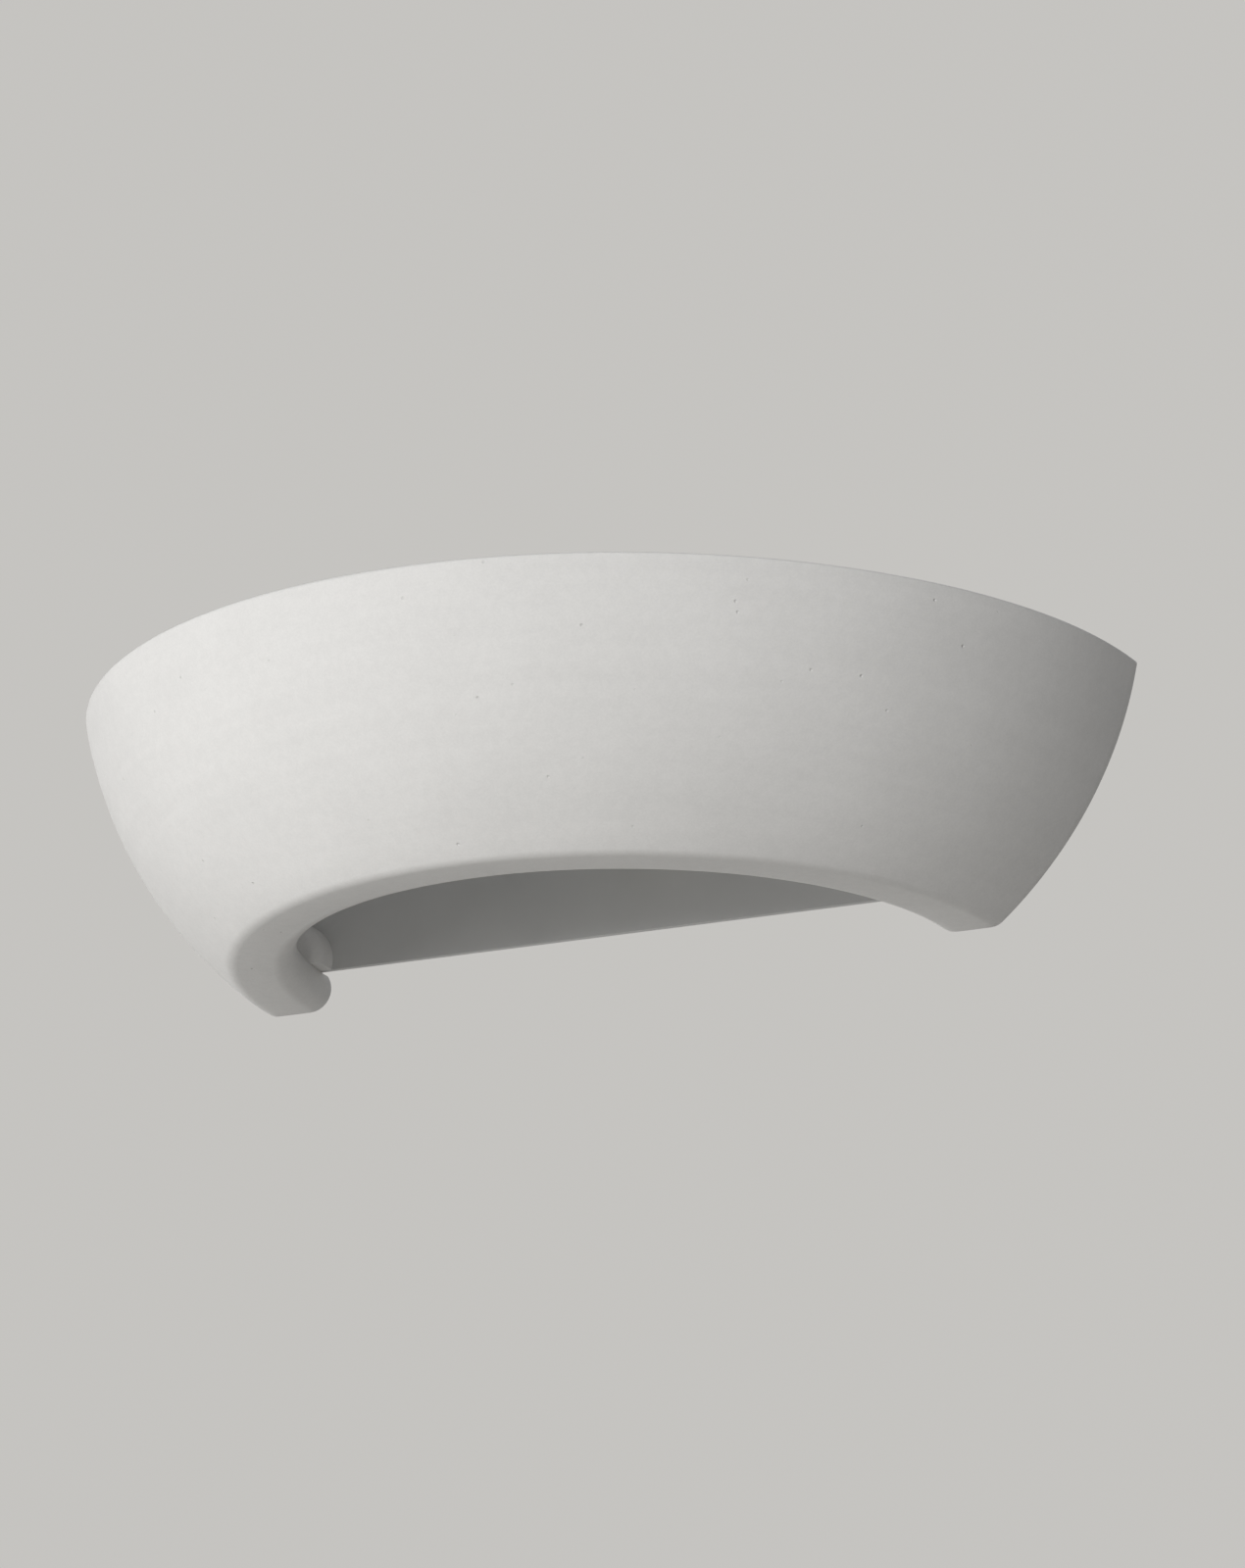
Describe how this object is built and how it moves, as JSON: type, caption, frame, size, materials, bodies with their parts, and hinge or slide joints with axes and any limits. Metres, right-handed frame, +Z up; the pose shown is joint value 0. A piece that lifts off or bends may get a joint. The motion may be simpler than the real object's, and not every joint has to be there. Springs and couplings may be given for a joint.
{
  "type": "uplighter wall sconce",
  "caption": "Half-round matt white plaster wall light, open above and below, with a steel back plate and a level E27 lamp inside.",
  "frame": {"origin": "on the wall plane, midway between the two wall-screw slots, 48 mm above the shell's underside", "axes": "+Y into the wall (the sconce stands out towards -Y), +X to the right as seen from the room, +Z up"},
  "size_m": [0.35, 0.175, 0.0815],
  "materials": {
    "plaster": "matt, unglazed, faintly pitted",
    "white_powder_coat": "fine satin powder coat",
    "zinc_steel": "bright zinc plated",
    "brass": "turned, satin",
    "nickel": "nickelled, satin",
    "solder": "dull",
    "white_holder": "moulded thermoset, half gloss",
    "steatite": "unglazed",
    "black_glass": "gloss",
    "white_housing": "half gloss",
    "opal": "frosted opal",
    "board": "white solder mask on aluminium",
    "phosphor": "light-emitting chip",
    "grommet_rubber": "matt",
    "nylon": "natural nylon",
    "wire_brown": "heat-resisting insulation",
    "wire_blue": "heat-resisting insulation",
    "wire_green_yellow": "heat-resisting insulation, striped"
  },
  "bodies": {
    "fixture": {"shell": "plaster", "shell_inserts": "brass", "shell_washers": "zinc_steel", "shell_screws": "zinc_steel", "wall_plate": "white_powder_coat", "cable_grommet": "grommet_rubber", "lamp_bracket": "zinc_steel", "bracket_studs": "zinc_steel", "bracket_washers": "zinc_steel", "bracket_nuts": "zinc_steel", "holder_nipple": "brass", "holder_locknut": "brass", "holder_cap": "white_holder", "holder_skirt": "white_holder", "holder_core": "steatite", "holder_terminals": "brass", "contact_sleeve": "brass", "centre_contact": "brass", "terminal_block": "nylon", "terminal_tubes": "brass", "terminal_screws": "zinc_steel", "block_screw": "zinc_steel", "earth_stud": "zinc_steel", "earth_ring": "nickel", "earth_washer": "zinc_steel", "earth_nut": "zinc_steel", "wire_live": "wire_brown", "wire_neutral": "wire_blue", "wire_earth": "wire_green_yellow"},
    "lamp": {"lamp_contact": "solder", "lamp_insulator": "black_glass", "lamp_cap": "nickel", "lamp_housing": "white_housing", "lamp_globe": "opal", "led_board": "board", "led_chips": "phosphor"}
  },
  "joints": [
    {"name": "lamp_out", "type": "slide", "parent": "fixture", "child": "lamp", "axis": [1, 0, 0], "range_m": [0, 0.03]}
  ]
}
